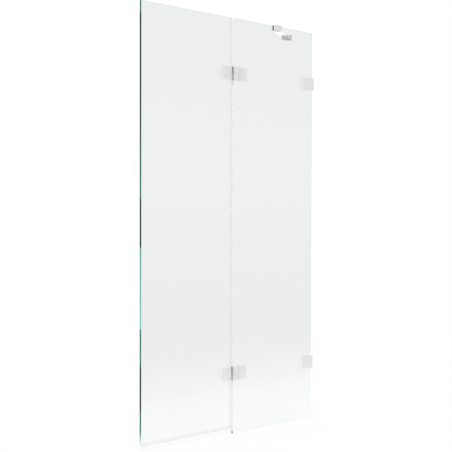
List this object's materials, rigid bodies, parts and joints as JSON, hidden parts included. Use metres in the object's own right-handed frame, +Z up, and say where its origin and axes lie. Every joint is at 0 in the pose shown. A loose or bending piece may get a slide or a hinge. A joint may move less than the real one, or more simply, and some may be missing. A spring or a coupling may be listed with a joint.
{
  "type": "two-panel bath screen",
  "caption": "Frameless clear-glass bath screen: a fixed panel on wall clamps and a stabiliser bar, with a hinged panel that swings outwards.",
  "frame": {"origin": "centre of the two screw holes in the lower wall bracket, on the face that lies on the wall", "axes": "+X into the wall, square to it; +Y from the room towards the bath; +Z up"},
  "size_m": [1, 0.1406, 1.5045],
  "materials": {
    "glass": "clear toughened glass with a green tint that shows at its ground and polished edges",
    "chrome": "polished chrome plate on brass",
    "steel": "plain stainless steel",
    "clear_plastic": "clear flexible vinyl with a slight haze",
    "nylon": "natural white nylon",
    "rubber": "dark grey rubber, matt"
  },
  "bodies": {
    "fixed_panel": {"fixed_glass": "glass", "upper_hinge_fixed_leaf": "chrome", "upper_hinge_pin": "steel", "upper_hinge_bottom_cap": "chrome", "upper_hinge_fixed_pad": "clear_plastic", "upper_hinge_fixed_sleeves": "clear_plastic", "upper_hinge_fixed_discs": "chrome", "upper_hinge_fixed_screws": "steel", "lower_hinge_fixed_leaf": "chrome", "lower_hinge_pin": "steel", "lower_hinge_bottom_cap": "chrome", "lower_hinge_fixed_pad": "clear_plastic", "lower_hinge_fixed_sleeves": "clear_plastic", "lower_hinge_fixed_discs": "chrome", "lower_hinge_fixed_screws": "steel", "upper_clamp_front_plate": "chrome", "upper_clamp_wall_bracket": "chrome", "upper_clamp_front_pad": "clear_plastic", "upper_clamp_rear_pad": "clear_plastic", "upper_clamp_sleeves": "clear_plastic", "upper_clamp_screws": "steel", "lower_clamp_front_plate": "chrome", "lower_clamp_wall_bracket": "chrome", "lower_clamp_front_pad": "clear_plastic", "lower_clamp_rear_pad": "clear_plastic", "lower_clamp_sleeves": "clear_plastic", "lower_clamp_screws": "steel", "stabiliser_glass_clamp": "chrome", "stabiliser_liner": "rubber", "stabiliser_pressure_plate": "steel", "stabiliser_grub_screw": "steel", "stabiliser_bar": "chrome", "stabiliser_washers": "nylon", "stabiliser_clamp_pivot": "steel", "stabiliser_wall_pivot": "steel", "stabiliser_wall_flange": "chrome"},
    "moving_panel": {"moving_glass": "glass", "joint_seal": "clear_plastic", "drip_seal": "clear_plastic", "upper_hinge_moving_leaf": "chrome", "upper_hinge_bush": "nylon", "upper_hinge_top_cap": "chrome", "upper_hinge_moving_pad": "clear_plastic", "upper_hinge_moving_sleeves": "clear_plastic", "upper_hinge_moving_discs": "chrome", "upper_hinge_moving_screws": "steel", "lower_hinge_moving_leaf": "chrome", "lower_hinge_bush": "nylon", "lower_hinge_top_cap": "chrome", "lower_hinge_moving_pad": "clear_plastic", "lower_hinge_moving_sleeves": "clear_plastic", "lower_hinge_moving_discs": "chrome", "lower_hinge_moving_screws": "steel"}
  },
  "joints": [
    {"name": "panel_swing", "type": "hinge", "parent": "fixed_panel", "child": "moving_panel", "pos_m": [-0.506, -0.0424, 0], "axis": [0, 0, 1], "range_deg": [0, 180]}
  ]
}
